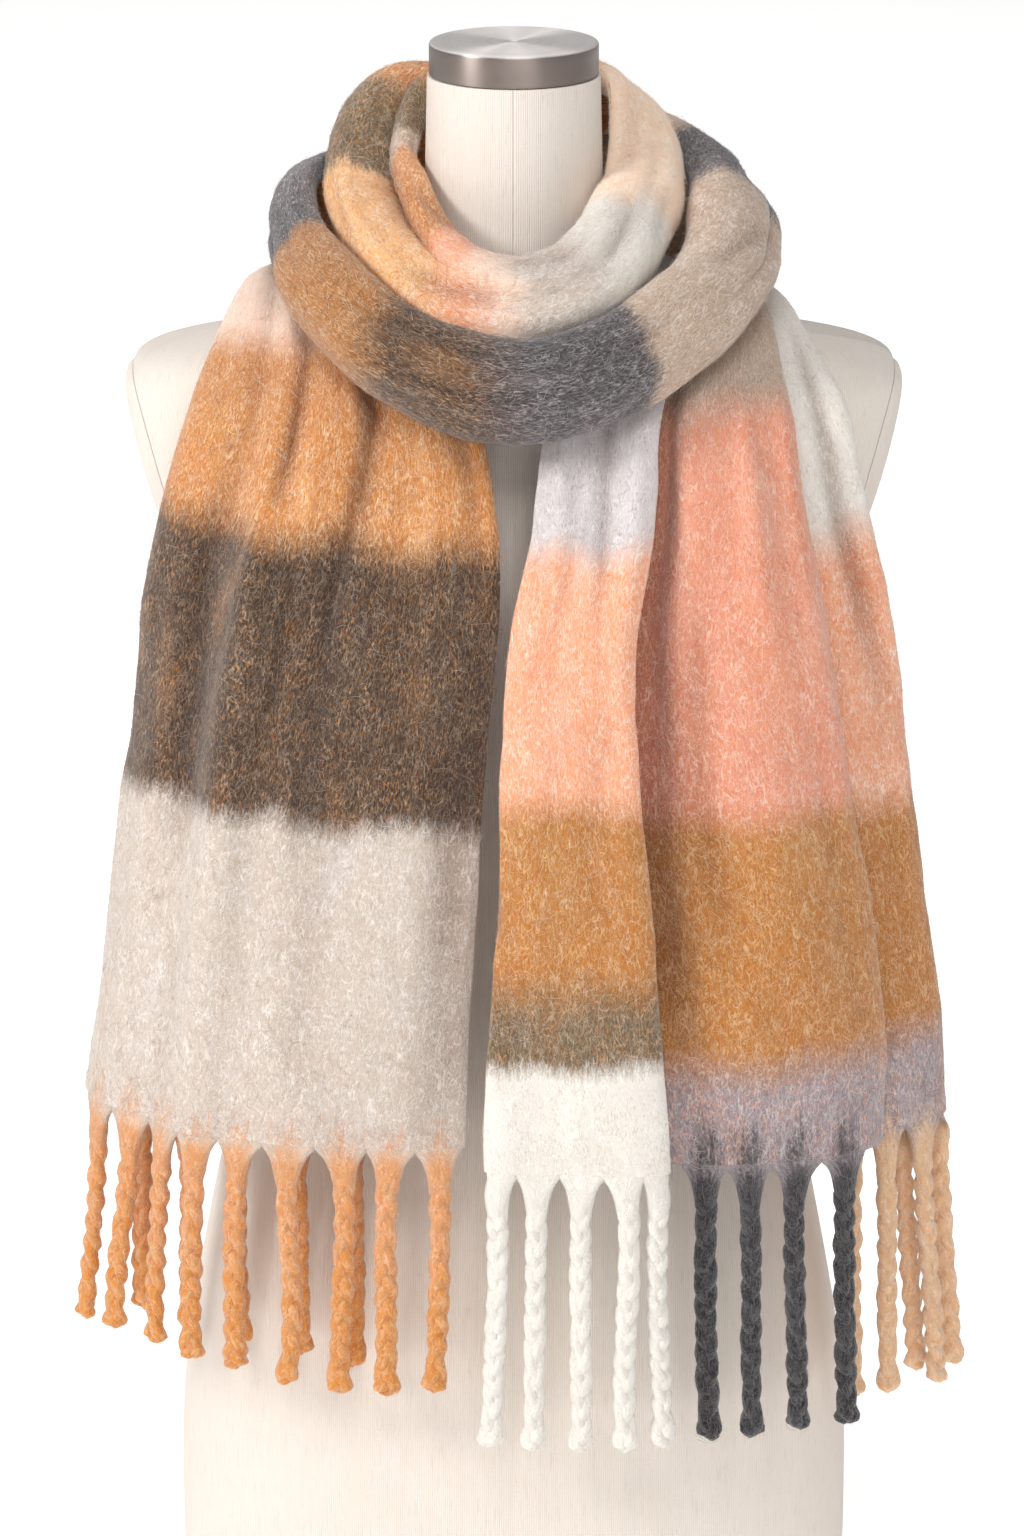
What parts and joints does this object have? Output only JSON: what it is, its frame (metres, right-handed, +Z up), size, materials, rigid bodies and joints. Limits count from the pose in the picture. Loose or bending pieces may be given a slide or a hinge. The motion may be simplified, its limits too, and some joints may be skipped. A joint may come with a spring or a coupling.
{
  "type": "blanket scarf on a limbless dress form",
  "caption": "Brushed wool blanket scarf wound twice round the neck of a limbless dress form, its two folded ends hanging in front with twisted tassels along their hems.",
  "frame": {"origin": "middle of the form's flat base", "axes": "+Z up along the neck, -Y out of the chest, +X to the viewer's right as seen from the front"},
  "size_m": [0.4849, 0.2857, 0.88],
  "materials": {
    "linen_cover": "fine off-white linen with a faint upright rib",
    "brushed_steel": "spun and brushed",
    "camel_wool": "brushed wool, long soft nap",
    "peach_wool": "brushed wool, long soft nap",
    "smoke_wool": "brushed wool, long soft nap",
    "ochre_wool": "brushed wool, long soft nap",
    "cream_wool": "twisted wool yarn",
    "tan_wool": "twisted wool yarn"
  },
  "bodies": {
    "root": {"form_torso": "linen_cover", "form_arm_plate_left": "linen_cover", "form_arm_plate_right": "linen_cover", "neck_cap": "brushed_steel", "neck_turn_inner": "ochre_wool", "neck_turn_outer": "smoke_wool", "fall_left": "camel_wool", "fall_right": "peach_wool", "fringe_left": "camel_wool", "fringe_right_white": "cream_wool", "fringe_right_grey": "smoke_wool", "fringe_right_tan": "tan_wool"}
  },
  "joints": []
}
